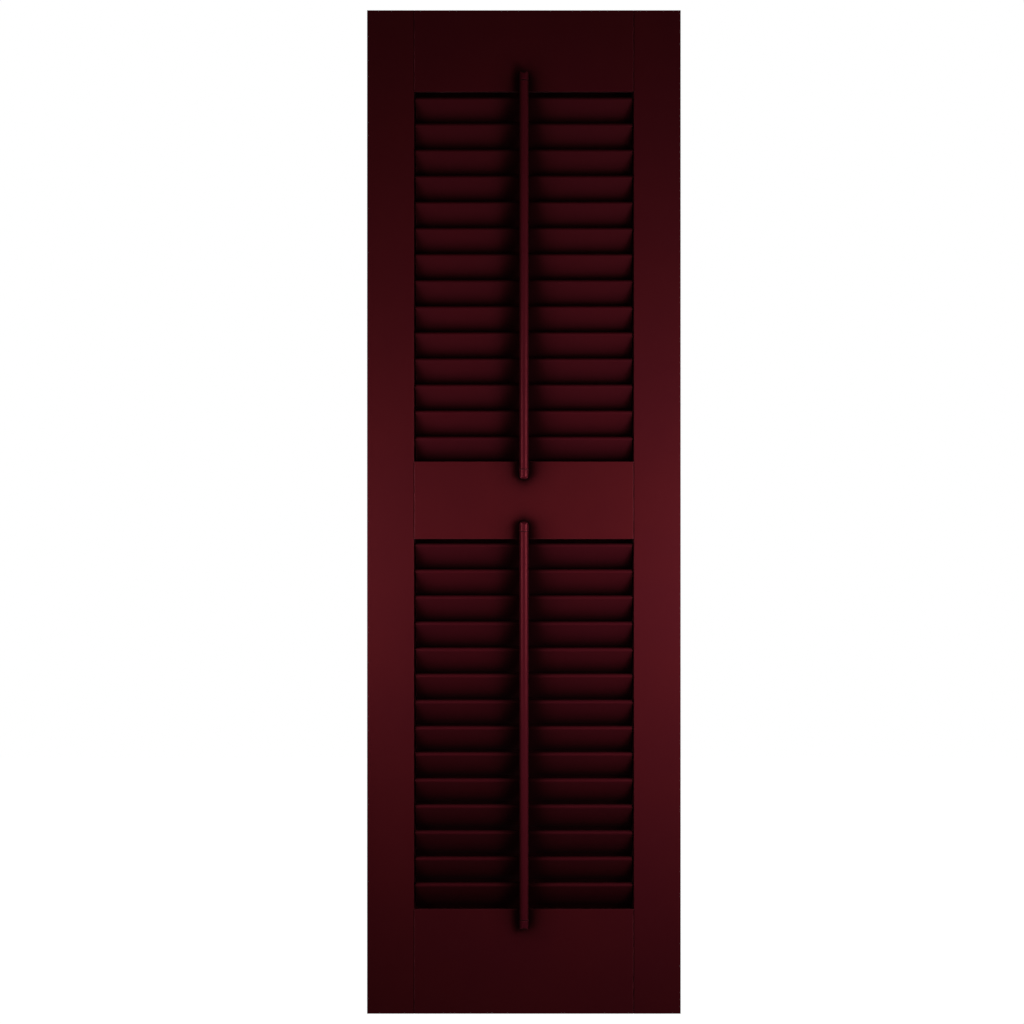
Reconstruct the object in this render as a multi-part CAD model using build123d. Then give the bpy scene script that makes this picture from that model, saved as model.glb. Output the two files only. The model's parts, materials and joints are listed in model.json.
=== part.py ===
from build123d import *
import math
import os

# A louvered exterior shutter with two equal fields of fixed louvers and a dummy tilt rod on each field.
# Millimetres. X runs across the shutter, +Y points back to the wall, Z is up.
# The back of the shutter lies on y = 0 and the origin is at the middle of that back.

# Outline and boards
shutter_width = 381.0
shutter_height = 1219.2
board_thickness = 31.75
stile_width = 57.15
top_rail_height = 99.1
middle_rail_height = 94.6
bottom_rail_height = 127.5
edge_ease = 1.0
joint_ease = 0.5

# Louvers: slats with a bullnose at the front edge, which is up, and a thin tongue at the back
slat_angle = 60.0
slat_thickness = 6.5
slat_front_recess = 2.7
slat_back_recess = 1.9
slat_overlap = 10.5
heel_length = 9.0
tongue_length = 11.8
tongue_thickness = 3.0
head_gap = 4.8
sill_gap = 30.6

# Each louver stops short of the stiles and is held by a stub tenon in a sloping blind mortise
slat_end_gap = 1.5
stub_nose_shoulder = 1.7
stub_face_shoulder = 1.2
stub_top_shoulder = 0.5
stub_tongue_shoulder = 0.5
stub_length = 7.0
stub_fit = 0.15
stub_end_fit = 0.5

# Rail edges next to a field are bevelled back from a narrow nosing, and a lip closes the head from behind
rail_nosing = 3.0
bevel_angle = 30.0
lip_thickness = 6.0
lip_cover = 4.0
lip_ease = 0.8

# Stub tenons on the rails and their mortises in the stiles
tenon_thickness = 10.0
tenon_length = 19.0
tenon_wall = 5.0
tenon_fit = 0.15
tenon_end_fit = 1.0

# Dummy tilt rods: an extruded rod, and a moulded cap plugged into each end of it and pegged to a rail
rod_width = 11.1
rod_depth = 12.0
rod_front_radius = 5.0
rod_end_overlap = 21.8
rod_end_ease = 0.3
cap_length = 11.4
cap_step = 0.25
cap_joint_gap = 0.8
cap_tip_radius = 5.5
cap_nose_radius = 5.0
spigot_radius = 3.4
spigot_length = 7.0
spigot_fit = 0.15
spigot_end_fit = 0.5
peg_radius = 2.0
peg_length = 9.0
peg_from_tip = 4.2
peg_fit = 0.1
peg_end_fit = 0.5

# Places that follow from the sizes above
front_face = -board_thickness
opening_width = shutter_width - 2 * stile_width
opening_height = (
    shutter_height - top_rail_height - middle_rail_height - bottom_rail_height
) / 2
upper_head = shutter_height / 2 - top_rail_height
upper_sill = upper_head - opening_height
lower_head = upper_sill - middle_rail_height
lower_sill = lower_head - opening_height

# A slat fills the board's thickness less its two recesses, and its width follows from that.
# Its tongue lies along the upper side, and the heel is the rounded step from its lower face to the tongue.
slope = math.radians(slat_angle)
slat_depth = board_thickness - slat_front_recess - slat_back_recess
slat_run = (slat_depth - slat_thickness) / math.cos(slope)
slat_width = slat_run + slat_thickness
slat_height = slat_run * math.sin(slope) + slat_thickness
slat_y = front_face + slat_front_recess + slat_depth / 2
slat_travel = opening_height - head_gap - sill_gap
slat_gaps = round(slat_travel / (slat_height - slat_overlap))
slat_pitch = slat_travel / slat_gaps
heel_depth = slat_thickness - tongue_thickness
tongue_root = slat_width / 2 - tongue_length

# A tenon keeps clear of the bevels on the edges of its rail
bevel_slope = math.tan(math.radians(bevel_angle))
tenon_inset = ((board_thickness + tenon_thickness) / 2 - rail_nosing) * bevel_slope + tenon_wall

# A cap stands a little proud of the rod at its sides and front
cap_width = rod_width + 2 * cap_step
cap_depth = rod_depth + cap_step


def slat_centres(head):
    """Heights of the slat centres in the field whose head is at that height, from the top down."""
    first = head - head_gap - slat_height / 2
    return [first - i * slat_pitch for i in range(slat_gaps + 1)]


def on_slat(z, outline):
    """A flat outline laid on the section of the slat at that height, with its long side on the slope."""
    return Plane.YZ * Pos(slat_y, z) * Rot(0, 0, -slat_angle) * outline


def slat_outline():
    """Cross-section of a slat: its front edge at -X, its upper side at +Y."""
    half = slat_thickness / 2
    nose = half - slat_width / 2
    heel = tongue_root - heel_length
    under_tongue = half - tongue_thickness
    tip = slat_width / 2
    edges = [
        ThreePointArc((nose, half), (-slat_width / 2, 0), (nose, -half)),
        Line((nose, -half), (heel, -half)),
        EllipticalCenterArc((heel, under_tongue), heel_length, heel_depth, start_angle=270, arc_size=90),
        Polyline((tongue_root, under_tongue), (tip, under_tongue), (tip, half), (nose, half)),
    ]
    return make_face(edges)


def stub_outline(fit=0.0):
    """Cross-section of a slat's stub tenon, stepped as the slat is, grown all round where it cuts a mortise."""
    half = slat_thickness / 2
    front = stub_nose_shoulder - slat_width / 2
    step = tongue_root - heel_length
    tip = slat_width / 2 - stub_tongue_shoulder
    top = half - stub_top_shoulder
    foot = stub_face_shoulder - half
    tongue_foot = half - tongue_thickness + stub_tongue_shoulder
    grown = [
        (front - fit, foot - fit),
        (step + fit, foot - fit),
        (step + fit, tongue_foot - fit),
        (tip + fit, tongue_foot - fit),
        (tip + fit, top + fit),
        (front - fit, top + fit),
    ]
    return Polygon(*grown, align=None)


def louver(z):
    """One slat with a stub tenon at each end."""
    blade_length = opening_width - 2 * slat_end_gap
    core_length = opening_width + 2 * stub_length
    blade = extrude(on_slat(z, slat_outline()), amount=blade_length / 2, both=True)
    return blade + extrude(on_slat(z, stub_outline()), amount=core_length / 2, both=True)


def tenon(side, low, high, fit=0.0, end_fit=0.0):
    """A rail's stub tenon on that side, or the mortise for it when it is grown by the fits."""
    length = tenon_length + end_fit
    block = Box(length, tenon_thickness + 2 * fit, high - low - 2 * tenon_inset + 2 * fit)
    x = side * (opening_width + length) / 2
    return Pos(x, front_face / 2, (high + low) / 2) * block


def peg_place(tip, inward):
    """Height of a cap's peg, measured in from the tip of the rod."""
    return tip + inward * peg_from_tip


def peg(z, radius, length):
    """A round peg that runs back into a rail from its front face, or the hole for one."""
    start = Plane((0, front_face, z), x_dir=(1, 0, 0), z_dir=(0, 1, 0))
    return extrude(start * Circle(radius), amount=length)


def rail_section(low, high, louvers_above, louvers_below):
    """A rail's cross-section: square at the shutter's ends, bevelled back where louvers come next."""
    points = [(front_face, low), (front_face, high)]
    if louvers_above:
        drop = (board_thickness - rail_nosing) * bevel_slope
        points += [(front_face + rail_nosing, high), (0, high - drop)]
    else:
        points += [(0, high)]
    if louvers_below:
        rise = (board_thickness - rail_nosing - lip_thickness) * bevel_slope
        lip_foot = low - head_gap - lip_cover
        points += [(0, lip_foot), (-lip_thickness, lip_foot)]
        points += [(-lip_thickness, low + rise), (front_face + rail_nosing, low)]
    else:
        points += [(0, low)]
    return Plane.YZ * Polygon(*points, align=None)


def rail(low, high, louvers_above=False, louvers_below=False, peg_heights=()):
    """A rail between the stiles, with its stub tenons and the holes for the pegs of the rod caps."""
    section = rail_section(low, high, louvers_above, louvers_below)
    body = extrude(section, amount=opening_width / 2, both=True)
    front_edges = body.faces().sort_by(Axis.Y)[0].edges()
    body = fillet(front_edges.filter_by(Axis.X), edge_ease)
    if louvers_below:
        lip_edges = body.edges().filter_by(Axis.X).group_by(Axis.Z)[0]
        body = fillet(lip_edges, lip_ease)
    shoulder_edges = body.faces().sort_by(Axis.Y)[0].edges().filter_by(Axis.Z)
    body = chamfer(shoulder_edges, joint_ease)
    for side in (-1, 1):
        body += tenon(side, low, high)
    for z in peg_heights:
        body -= peg(z, peg_radius + peg_fit, peg_length + peg_end_fit)
    return body


def stile(side, rail_spans, slat_heights):
    """A full-height stile with a mortise for each rail and a sloping blind mortise for each louver."""
    x = side * (shutter_width - stile_width) / 2
    body = Pos(x, front_face / 2, 0) * Box(stile_width, board_thickness, shutter_height)
    front_edges = body.faces().sort_by(Axis.Y)[0].edges()
    back_edges = body.faces().sort_by(Axis.Y)[-1].edges().filter_by(Axis.Z)
    body = fillet(front_edges + back_edges, edge_ease)
    for low, high in rail_spans:
        body -= tenon(side, low, high, tenon_fit, tenon_end_fit)
    for z in slat_heights:
        mouth = Pos(side * opening_width / 2, 0, 0) * on_slat(z, stub_outline(stub_fit))
        body -= extrude(mouth, amount=side * (stub_length + stub_end_fit))
    return body


def rod_outline(grow=0.0):
    """The rod's cross-section, flat at the back where it lies on the rails and rounded in front."""
    depth = rod_depth + grow
    block = Pos(0, front_face - depth / 2) * Rectangle(rod_width + 2 * grow, depth)
    return fillet(block.vertices().group_by(Axis.Y)[0], rod_front_radius + grow)


def spigot(z, inward, radius, length):
    """A round spigot that runs inward from that height along the middle of the rod, or the hole for one."""
    start = Plane((0, front_face - rod_depth / 2, z), x_dir=(1, 0, 0), z_dir=(0, 0, inward))
    return extrude(start * Circle(radius), amount=length)


def rod(top, bottom):
    """A rod between its two caps, with a hole in each end for a cap's spigot."""
    cut_back = cap_length + cap_joint_gap
    length = top - bottom - 2 * cut_back
    body = extrude(Pos(0, 0, bottom + cut_back) * rod_outline(), amount=length)
    end_faces = body.faces().filter_by(Axis.Z)
    body = chamfer(end_faces[0].edges() + end_faces[-1].edges(), rod_end_ease)
    depth = spigot_length - cap_joint_gap + spigot_end_fit
    for tip, inward in ((top, -1), (bottom, 1)):
        body -= spigot(tip + inward * cut_back, inward, spigot_radius + spigot_fit, depth)
    return body


def rod_cap(tip, inward):
    """The moulded cap on a rod's end, with its spigot and peg. The rod runs inward from the tip."""
    middle = tip + inward * cap_length / 2
    plan = Pos(0, 0, middle) * rod_outline(cap_step)
    body = extrude(plan, amount=cap_length / 2, both=True)
    front_view = Plane.XZ * Pos(0, middle) * Rectangle(cap_width, cap_length)
    tip_corners = front_view.vertices().group_by(Axis.Z)[0 if inward > 0 else -1]
    front_view = fillet(tip_corners, cap_tip_radius)
    body &= extrude(front_view, amount=board_thickness + cap_depth)
    side_view = Plane.YZ * Pos(front_face - cap_depth / 2, middle) * Rectangle(cap_depth, cap_length)
    nose_corner = side_view.vertices().sort_by_distance((0, front_face - cap_depth, tip))[0]
    side_view = fillet(nose_corner, cap_nose_radius)
    body &= extrude(side_view, amount=cap_width / 2, both=True)
    body += spigot(tip + inward * cap_length, inward, spigot_radius, spigot_length)
    return body + peg(peg_place(tip, inward), peg_radius, peg_length)


def build():
    """All pieces of the shutter by name."""
    upper_slats = slat_centres(upper_head)
    lower_slats = slat_centres(lower_head)
    rods = {
        "upper": (upper_head + rod_end_overlap, upper_sill - rod_end_overlap),
        "lower": (lower_head + rod_end_overlap, lower_sill - rod_end_overlap),
    }
    pegs = {
        (name, end): peg_place(tip, inward)
        for name, (top, bottom) in rods.items()
        for end, tip, inward in (("top", top, -1), ("bottom", bottom, 1))
    }
    top_rail_span = (upper_head, shutter_height / 2)
    middle_rail_span = (lower_head, upper_sill)
    bottom_rail_span = (-shutter_height / 2, lower_sill)
    rail_spans = (top_rail_span, middle_rail_span, bottom_rail_span)

    pieces = {
        "left_stile": stile(-1, rail_spans, upper_slats + lower_slats),
        "right_stile": stile(1, rail_spans, upper_slats + lower_slats),
        "top_rail": rail(*top_rail_span, louvers_below=True, peg_heights=[pegs["upper", "top"]]),
        "middle_rail": rail(
            *middle_rail_span,
            louvers_above=True,
            louvers_below=True,
            peg_heights=[pegs["upper", "bottom"], pegs["lower", "top"]],
        ),
        "bottom_rail": rail(
            *bottom_rail_span, louvers_above=True, peg_heights=[pegs["lower", "bottom"]]
        ),
    }
    for field, heights in (("upper", upper_slats), ("lower", lower_slats)):
        for number, z in enumerate(heights, start=1):
            pieces[f"{field}_louver_{number:02d}"] = louver(z)
    for name, (top, bottom) in rods.items():
        pieces[f"{name}_tilt_rod"] = rod(top, bottom)
        pieces[f"{name}_rod_top_cap"] = rod_cap(top, -1)
        pieces[f"{name}_rod_bottom_cap"] = rod_cap(bottom, 1)
    return pieces


os.makedirs("parts", exist_ok=True)
for name, piece in build().items():
    export_step(piece, f"parts/{name}.step")
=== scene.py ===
import json
import math

import bpy
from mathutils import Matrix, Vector


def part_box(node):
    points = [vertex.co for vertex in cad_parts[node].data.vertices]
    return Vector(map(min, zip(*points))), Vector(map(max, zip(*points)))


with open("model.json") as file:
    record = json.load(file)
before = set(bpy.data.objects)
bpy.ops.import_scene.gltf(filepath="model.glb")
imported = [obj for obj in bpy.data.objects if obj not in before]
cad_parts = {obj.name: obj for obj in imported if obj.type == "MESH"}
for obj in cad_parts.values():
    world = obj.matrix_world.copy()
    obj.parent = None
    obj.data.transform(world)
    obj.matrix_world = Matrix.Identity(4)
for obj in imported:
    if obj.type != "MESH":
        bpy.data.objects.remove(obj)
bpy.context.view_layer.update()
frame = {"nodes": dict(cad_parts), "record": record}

# A louvered exterior shutter in burgundy satin paint, seen straight on from its front.
# Metres, in the part's own frame: X across, +Y back to the wall, +Z up, the back of the boards on y = 0.

MM = 0.001
FRONT_OF_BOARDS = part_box("left_stile")[0].y

# The louvers run across and the rods run up.
ACROSS, UP = 0, 2

# The camera stands level with the shutter's middle, a little to its left.
CAMERA_DISTANCE = 1.4
CAMERA_SIDE = -0.01445
VIEW_HALF_HEIGHT = 0.62175
SENSOR_WIDTH = 36.0

# Colours, as sRGB hex. Each set of three runs from the paint's cooler to its warmer shade.
BOARD_SHADES = ("4D121B", "50131A", "53141A")
# The louvers' set is darker than the boards' for the same paint: painted shade for the shade between the
# slats.
LOUVER_SHADES_WITH_PAINTED_SHADE = ("420E17", "450F17", "480F17")
# The rods' set, also used for the caps, is lighter than the boards' for the same paint: painted light on the
# proud rods.
ROD_SHADES_WITH_PAINTED_LIGHT = ("521420", "561520", "5A1620")
# A lighter colour for rubbed edges, which also serves as a painted highlight along them.
WORN_AND_HIGHLIT_EDGE = "B4505C"
GLOSS_TINT = "FF6A74"
# Near black: the painted shade in nooks and creases, and the rod's painted shadow.
PAINTED_SHADE = "0A0203"
STUDIO_WHITE = "FFFFFF"
PALE_FLOOR = "DEDCD8"
ROOM_GREY = "E8E9EC"

# Where the three shades stand in the drift of the colour, and what the clouds and the single piece add to it.
SHADE_STOPS = (0.25, 0.5, 0.75)
CLOUD_SHARE = 0.7
PIECE_SHARE = 0.3

# How free of painted shade a place is, by how open it is: on the flat boards, and on the louvers, which shade
# each other.
BOARD_UNSHADED = ((0.0, 0.0), (0.55, 0.0), (0.76, 0.05), (0.88, 0.3), (0.96, 0.76), (1.0, 1.0))
LOUVER_UNSHADED = ((0.0, 0.0), (0.3, 0.03), (0.5, 0.17), (0.75, 0.48), (0.9, 0.78), (1.0, 1.0))

# A louver's front is darkened beside the rod: the rod's shadow, painted.
# The painted shadow reaches this far from its middle, which lies a little to the left of the rod's.
# How free of it the front is goes by the share of that reach. The back, told by the way it faces, has none.
ROD_SHADOW_REACH_MM = 65.0
ROD_SHADOW_SHIFT_MM = 4.0
ROD_SHADOW_UNSHADED = ((0.0, 0.2), (0.18, 0.22), (0.3, 0.33), (0.41, 0.62), (0.52, 0.82), (0.65, 0.91), (1.0, 1.0))
FRONT_TO_BACK = (-0.1, 0.1)

# How open a crease or joint is where it is fully darkened with painted shade, and where it is not darkened at
# all.
JOINT_OPEN = (0.84, 1.0)

# How far an edge turns where its rubbing and painted highlight start and where they are full, as the cosine
# of the turn.
EDGE_TURN = (0.995, 0.9)

# How far the rubbing and painted highlight reach from an edge in mm, and how strong they are.
BOARD_EDGE_WEAR_AND_HIGHLIGHT = (1.2, 2.0)
LOUVER_EDGE_WEAR_AND_HIGHLIGHT = (0.9, 0.7)
ROD_EDGE_WEAR_AND_HIGHLIGHT = (0.9, 0.9)

# Real sizes: about a hand's width from cloud to cloud, a fingertip's from rubbed and highlit patch to patch,
# and two fingers' in the drift of the gloss.
CLOUD_MM = 110.0
PATCH_MM = 9.0
GLOSS_DRIFT_MM = 26.0

# How far off something has to be to leave a nook or a joint open.
NOOK_MM = 40.0
JOINT_MM = 2.5

# Spacing and depth in mm. Orange peel is about 1 mm from bump to bump and a mould's grain finer.
# Both are too fine to show here, so they are drawn coarser.
ORANGE_PEEL = (3.2, 0.03)
MOULD_GRAIN = (2.0, 0.02)

# An extrusion's die lines stand about 0.3 mm apart, too fine to show here, so they are drawn 1.5 mm apart.
# They are stretched along the extrusion.
DIE_LINES = (1.5, 0.015)
DIE_STRETCH = 0.01

PAINT_IOR = 1.49
ABS_IOR = 1.53
SATIN_ROUGHNESS = 0.46
SMOOTH_ROUGHNESS = 0.24
# Roughness where the painted shade sits.
PAINTED_SHADE_ROUGHNESS = 0.95
GLOSS_DRIFT = 0.06

# Settings that several nodes share.
MULTIPLY = {"operation": "MULTIPLY"}
MULTIPLY_ADD = {"operation": "MULTIPLY_ADD"}
MAXIMUM = {"operation": "MAXIMUM"}
COLOUR_MIX = {"data_type": "RGBA"}


def linear(hex_colour):
    """An sRGB hex colour as linear RGBA."""
    parts = [int(hex_colour[i:i + 2], 16) / 255 for i in (0, 2, 4)]
    return [p / 12.92 if p <= 0.04045 else ((p + 0.055) / 1.055) ** 2.4 for p in parts] + [1.0]


def add(tree, kind, settings=None, curve=(), ramp=(), **links):
    """Adds a node with its settings, a curve's points or a ramp's stops, and each input's value or link."""
    made = tree.nodes.new(kind)
    for name, value in (settings or {}).items():
        setattr(made, name, value)
    for index, (at, height) in enumerate(curve):
        points = made.mapping.curves[0].points
        last = index == len(curve) - 1
        point = points[0] if index == 0 else points[-1] if last else points.new(at, height)
        point.location = (at, height)
    for index, (at, colour) in enumerate(ramp):
        stops = made.color_ramp.elements
        last = index == len(ramp) - 1
        stop = stops[0] if index == 0 else stops[-1] if last else stops.new(at)
        stop.position = at
        stop.color = colour
    if curve:
        made.mapping.update()
    for name, value in links.items():
        key = int(name[1:]) if name[0] == "_" and name[1:].isdigit() else name.replace("_", " ")
        socket = made.inputs[key]
        if isinstance(value, bpy.types.NodeSocket):
            tree.links.new(value, socket)
        else:
            socket.default_value = value
    return made


def coated(name, shades, roughness, ior, unshaded_by_openness, edge_wear_and_highlight, grain, rod_shadow=False, die_axis=None):
    """A coloured coat with worn edges that also carry a painted highlight, painted shade in its nooks and
    creases, the rod's painted shadow where asked, a fine grain and, on an extrusion, die lines.
    """
    material = bpy.data.materials.new(name)
    material.use_nodes = True
    tree = material.node_tree
    tree.nodes.clear()
    place = add(tree, "ShaderNodeTexCoord").outputs["Object"]
    flat = add(tree, "ShaderNodeNewGeometry").outputs["Normal"]

    # The colour drifts in clouds over a hand's width, and steps a little from piece to piece.
    clouds = add(
        tree, "ShaderNodeTexNoise", Vector=place, Scale=1 / (CLOUD_MM * MM), Detail=3.0, Roughness=0.55
    )
    piece = add(tree, "ShaderNodeObjectInfo").outputs["Random"]
    cloudy = add(tree, "ShaderNodeMath", MULTIPLY, _0=clouds.outputs["Fac"], _1=CLOUD_SHARE)
    tone = add(tree, "ShaderNodeMath", MULTIPLY_ADD, _0=piece, _1=PIECE_SHARE, _2=cloudy.outputs[0])
    stops = tuple(zip(SHADE_STOPS, [linear(shade) for shade in shades]))
    shade = add(tree, "ShaderNodeValToRGB", ramp=stops, Fac=tone.outputs[0])

    # Painted shade darkens the nooks beside the rods, under the noses and at the louvers' ends, by how open
    # they are.
    nook = add(tree, "ShaderNodeAmbientOcclusion", {"samples": 8}, Distance=NOOK_MM * MM)
    unshaded = add(tree, "ShaderNodeFloatCurve", curve=unshaded_by_openness, Value=nook.outputs["AO"]).outputs[0]
    # On a louver's front, the rod's shadow is painted in beside it.
    if rod_shadow:
        across = add(tree, "ShaderNodeSeparateXYZ", Vector=place).outputs["X"]
        shifted = add(tree, "ShaderNodeMath", {"operation": "ADD"}, _0=across, _1=ROD_SHADOW_SHIFT_MM * MM)
        away = add(tree, "ShaderNodeMath", {"operation": "ABSOLUTE"}, _0=shifted.outputs[0])
        share = add(tree, "ShaderNodeMath", {"operation": "DIVIDE"}, _0=away.outputs[0], _1=ROD_SHADOW_REACH_MM * MM)
        out_of_rod_shadow = add(tree, "ShaderNodeFloatCurve", curve=ROD_SHADOW_UNSHADED, Value=share.outputs[0])
        facing_y = add(tree, "ShaderNodeSeparateXYZ", Vector=flat).outputs["Y"]
        back = add(tree, "ShaderNodeMapRange", _0=facing_y, _1=FRONT_TO_BACK[0], _2=FRONT_TO_BACK[1])
        kept = add(tree, "ShaderNodeMath", MAXIMUM, _0=out_of_rod_shadow.outputs[0], _1=back.outputs[0])
        both = add(tree, "ShaderNodeMath", MULTIPLY, _0=unshaded, _1=kept.outputs[0])
        unshaded = both.outputs[0]

    # Painted contact shade darkens the narrow creases and joints between pieces to dark hairlines.
    narrow = add(tree, "ShaderNodeAmbientOcclusion", {"samples": 6}, Distance=JOINT_MM * MM)
    open_joint = add(tree, "ShaderNodeMapRange", _0=narrow.outputs["AO"], _1=JOINT_OPEN[0], _2=JOINT_OPEN[1])
    crease_shaded = add(tree, "ShaderNodeMath", MULTIPLY, _0=unshaded, _1=open_joint.outputs[0])
    unshaded = crease_shaded.outputs[0]
    # The painted shade is mixed into the colour here.
    shaded_colour = add(
        tree,
        "ShaderNodeMix",
        COLOUR_MIX,
        _0=unshaded,
        _6=linear(PAINTED_SHADE),
        _7=shade.outputs["Color"],
    )

    # The coat is thin and rubbed along its eased edges, which shows lighter in patches; the lighter colour
    # there is also a painted highlight.
    edge_reach_mm, edge_strength = edge_wear_and_highlight
    rounded = add(tree, "ShaderNodeBevel", {"samples": 8}, Radius=edge_reach_mm * MM)
    facing = add(tree, "ShaderNodeVectorMath", {"operation": "DOT_PRODUCT"}, _0=rounded.outputs[0], _1=flat)
    edge = add(
        tree,
        "ShaderNodeMapRange",
        _0=facing.outputs["Value"],
        _1=EDGE_TURN[0],
        _2=EDGE_TURN[1],
        _3=0.0,
        _4=edge_strength,
    )
    patches = add(tree, "ShaderNodeTexNoise", Vector=place, Scale=1 / (PATCH_MM * MM), Detail=4.0)
    edge_patches = add(tree, "ShaderNodeMath", MULTIPLY, _0=edge.outputs[0], _1=patches.outputs["Fac"])
    edge_worn_and_highlit = add(tree, "ShaderNodeMath", MULTIPLY, _0=edge_patches.outputs[0], _1=open_joint.outputs[0])
    colour = add(
        tree,
        "ShaderNodeMix",
        COLOUR_MIX,
        _0=edge_worn_and_highlit.outputs[0],
        _6=shaded_colour.outputs[2],
        _7=linear(WORN_AND_HIGHLIT_EDGE),
    )

    # The gloss drifts a little over the coat, and is dulled where the painted shade sits.
    drift = add(tree, "ShaderNodeTexNoise", Vector=place, Scale=1 / (GLOSS_DRIFT_MM * MM), Detail=3.0)
    gloss = add(
        tree,
        "ShaderNodeMapRange",
        _0=drift.outputs["Fac"],
        _3=roughness - GLOSS_DRIFT,
        _4=roughness + GLOSS_DRIFT,
    )
    dulled = add(tree, "ShaderNodeMapRange", _0=unshaded, _3=PAINTED_SHADE_ROUGHNESS, _4=gloss.outputs[0])

    # A fine grain over all, and the long scratches of a die along an extrusion.
    grain_mm, grain_depth_mm = grain
    bumps = add(tree, "ShaderNodeTexNoise", Vector=place, Scale=1 / (grain_mm * MM), Detail=2.0)
    relief = add(tree, "ShaderNodeMath", MULTIPLY, _0=bumps.outputs["Fac"], _1=grain_depth_mm * MM)
    if die_axis is not None:
        line_mm, line_depth_mm = DIE_LINES
        squeeze = [1.0, 1.0, 1.0]
        squeeze[die_axis] = DIE_STRETCH
        along = add(tree, "ShaderNodeVectorMath", MULTIPLY, _0=place, _1=squeeze)
        lines = add(tree, "ShaderNodeTexNoise", Vector=along.outputs[0], Scale=1 / (line_mm * MM), Detail=1.0)
        relief = add(
            tree,
            "ShaderNodeMath",
            MULTIPLY_ADD,
            _0=lines.outputs["Fac"],
            _1=line_depth_mm * MM,
            _2=relief.outputs[0],
        )
    bump = add(tree, "ShaderNodeBump", Strength=1.0, Distance=1.0, Height=relief.outputs[0])

    shader = add(
        tree,
        "ShaderNodeBsdfPrincipled",
        Base_Color=colour.outputs[2],
        Roughness=dulled.outputs[0],
        Normal=bump.outputs[0],
        IOR=ior,
        Specular_Tint=linear(GLOSS_TINT),
    )
    add(tree, "ShaderNodeOutputMaterial", Surface=shader.outputs[0])
    return material


finishes = {
    # Satin acrylic sprayed on sanded cellular PVC boards: deep even burgundy with a soft broad sheen.
    "frame_boards": coated(
        "sprayed_satin_acrylic_on_cellular_pvc",
        BOARD_SHADES,
        SATIN_ROUGHNESS,
        PAINT_IOR,
        BOARD_UNSHADED,
        BOARD_EDGE_WEAR_AND_HIGHLIGHT,
        ORANGE_PEEL,
    ),
    # The same paint on extruded PVC slats, set darker as painted shade, with faint lines along each slat and
    # the rod's painted shadow.
    "louvers": coated(
        "sprayed_satin_acrylic_on_extruded_pvc_slats",
        LOUVER_SHADES_WITH_PAINTED_SHADE,
        SATIN_ROUGHNESS,
        PAINT_IOR,
        LOUVER_UNSHADED,
        LOUVER_EDGE_WEAR_AND_HIGHLIGHT,
        ORANGE_PEEL,
        rod_shadow=True,
        die_axis=ACROSS,
    ),
    # The same paint on extruded PVC rods, which leave the die smoother: they catch the light in narrow lines.
    # Their colour is set lighter as painted light.
    "tilt_rods": coated(
        "sprayed_satin_acrylic_on_extruded_pvc_rods",
        ROD_SHADES_WITH_PAINTED_LIGHT,
        SMOOTH_ROUGHNESS,
        PAINT_IOR,
        BOARD_UNSHADED,
        ROD_EDGE_WEAR_AND_HIGHLIGHT,
        ORANGE_PEEL,
        die_axis=UP,
    ),
    # Caps of injection-moulded ABS, coloured to match the rods with their painted light: as smooth as the
    # rods, with a fine mould grain.
    "rod_caps": coated(
        "moulded_satin_abs",
        ROD_SHADES_WITH_PAINTED_LIGHT,
        SMOOTH_ROUGHNESS,
        ABS_IOR,
        BOARD_UNSHADED,
        ROD_EDGE_WEAR_AND_HIGHLIGHT,
        MOULD_GRAIN,
    ),
}

for part in frame["record"]["subparts"]:
    for slot in frame["nodes"][part["node"]].material_slots:
        slot.material = finishes[part["material_slot"]]

# White paper hangs behind the shutter. To gloss and glass it fades in between these two values of Y:
# of the ray's direction in the sky, and of the place on the floor in metres.
SKY_PAPER = (0.88, 0.96)
FLOOR_PAPER = (3.0, 4.0)
ROOM_STRENGTH = 0.03


def paper_seen(tree, place_y, limits):
    """1 where the camera looks, and where gloss or glass looks at the white paper behind the shutter."""
    path = add(tree, "ShaderNodeLightPath").outputs
    behind = add(tree, "ShaderNodeMapRange", _0=place_y, _1=limits[0], _2=limits[1])
    mirrored = add(tree, "ShaderNodeMath", MAXIMUM, _0=path["Is Glossy Ray"], _1=path["Is Transmission Ray"])
    masked = add(tree, "ShaderNodeMath", MULTIPLY, _0=mirrored.outputs[0], _1=behind.outputs[0])
    return add(tree, "ShaderNodeMath", MAXIMUM, _0=path["Is Camera Ray"], _1=masked.outputs[0]).outputs[0]


world = bpy.data.worlds.new("studio")
bpy.context.scene.world = world
world.use_nodes = True
sky = world.node_tree
sky.nodes.clear()
direction = add(sky, "ShaderNodeTexCoord").outputs["Generated"]
sky_y = add(sky, "ShaderNodeSeparateXYZ", Vector=direction).outputs["Y"]
room = add(sky, "ShaderNodeBackground", Color=linear(ROOM_GREY), Strength=ROOM_STRENGTH)
paper = add(sky, "ShaderNodeBackground", Color=linear(STUDIO_WHITE), Strength=1.0)
seen = add(
    sky,
    "ShaderNodeMixShader",
    Fac=paper_seen(sky, sky_y, SKY_PAPER),
    _1=room.outputs[0],
    _2=paper.outputs[0],
)
add(sky, "ShaderNodeOutputWorld", Surface=seen.outputs[0])


def softbox(name, place, width, height, watts, glossy=True, diffuse=True):
    """A rectangular studio light aimed at the middle of the shutter's front."""
    light = bpy.data.lights.new(name, "AREA")
    light.shape = "RECTANGLE"
    light.size = width
    light.size_y = height
    light.energy = watts
    lamp = bpy.data.objects.new(name, light)
    bpy.context.scene.collection.objects.link(lamp)
    lamp.location = place
    aim = Vector((0.0, FRONT_OF_BOARDS, 0.0)) - Vector(place)
    lamp.rotation_euler = aim.to_track_quat("-Z", "Y").to_euler()
    lamp.visible_camera = False
    lamp.visible_glossy = glossy
    lamp.visible_diffuse = diffuse


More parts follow.
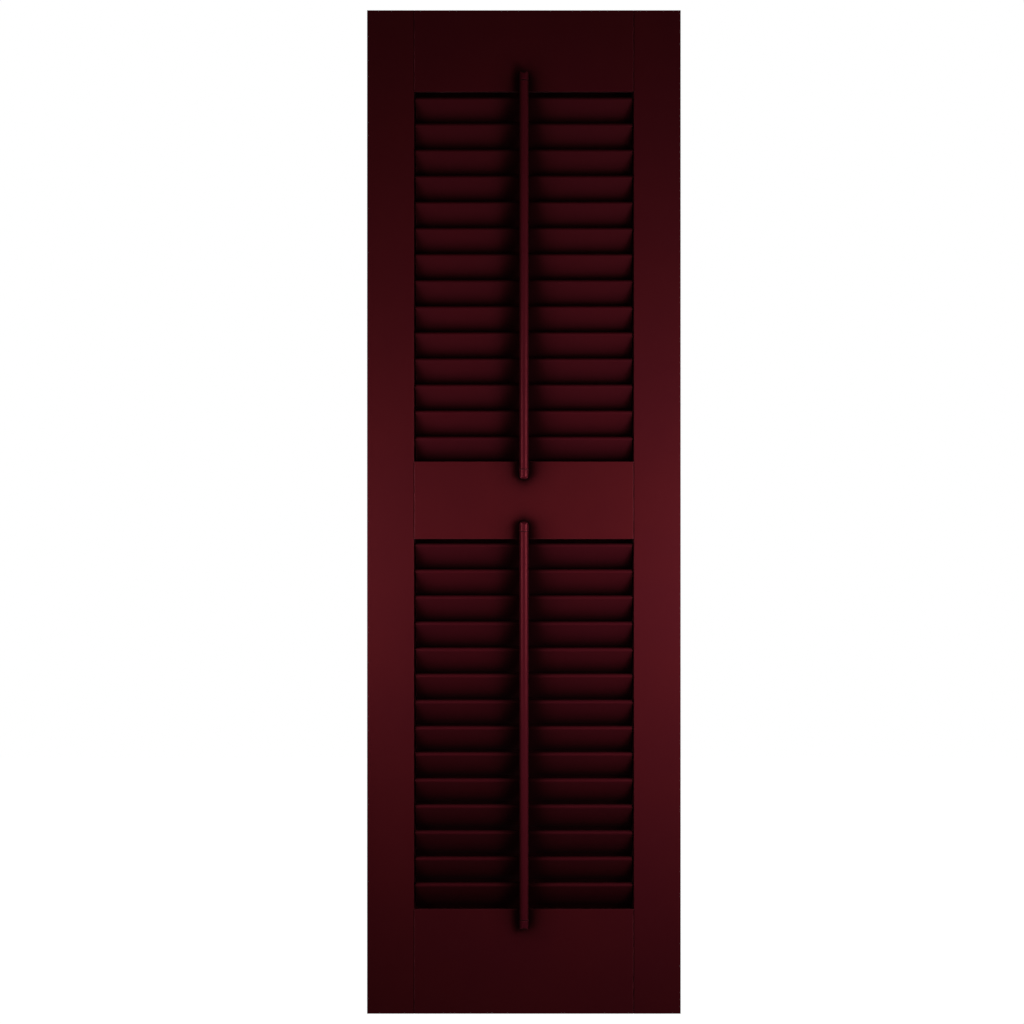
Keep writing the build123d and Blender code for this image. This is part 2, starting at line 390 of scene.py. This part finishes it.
# Two near softboxes light the colour, two strips draw the lines on the rods, and one softbox lights the back.
softbox("right_softbox", (0.396, -0.542, -0.095), width=0.30, height=0.28, watts=2.95, glossy=False)
softbox("left_softbox", (-0.374, -0.254, -0.085), width=0.29, height=0.235, watts=0.68, glossy=False)
softbox("right_strip", (1.1, -1.1, 0.0), width=0.45, height=0.7, watts=5.6, diffuse=False)
softbox("left_strip", (-1.1, -1.1, 0.0), width=0.45, height=0.7, watts=3.8, diffuse=False)
softbox("back_softbox", (0.5, 1.4, 0.5), width=0.9, height=0.9, watts=9.0)

# The floor lies well below, as the shutter hangs on a wall.
FLOOR_HEIGHT = -1.8
FLOOR_SIZE = 14.0
bpy.ops.mesh.primitive_plane_add(size=FLOOR_SIZE, location=(0, 0, FLOOR_HEIGHT))
floor = bpy.context.object
floor.name = "floor"
floor_paint = bpy.data.materials.new("pale_matt_floor")
floor_paint.use_nodes = True
tree = floor_paint.node_tree
tree.nodes.clear()
spot = add(tree, "ShaderNodeTexCoord").outputs["Object"]
spot_y = add(tree, "ShaderNodeSeparateXYZ", Vector=spot).outputs["Y"]
matt = add(tree, "ShaderNodeBsdfDiffuse", Color=linear(PALE_FLOOR))
white_share = paper_seen(tree, spot_y, FLOOR_PAPER)
lit = add(tree, "ShaderNodeEmission", Color=linear(STUDIO_WHITE), Strength=white_share)
both = add(tree, "ShaderNodeAddShader", _0=matt.outputs[0], _1=lit.outputs[0])
add(tree, "ShaderNodeOutputMaterial", Surface=both.outputs[0])
floor.data.materials.append(floor_paint)

camera_data = bpy.data.cameras.new("camera")
camera_data.sensor_width = SENSOR_WIDTH
camera_data.lens = SENSOR_WIDTH / 2 * CAMERA_DISTANCE / VIEW_HALF_HEIGHT
camera = bpy.data.objects.new("camera", camera_data)
bpy.context.scene.collection.objects.link(camera)
camera.location = (CAMERA_SIDE, FRONT_OF_BOARDS - CAMERA_DISTANCE, 0.0)
camera.rotation_euler = (math.radians(90), 0.0, 0.0)
bpy.context.scene.camera = camera

bpy.context.scene.view_settings.view_transform = "Standard"
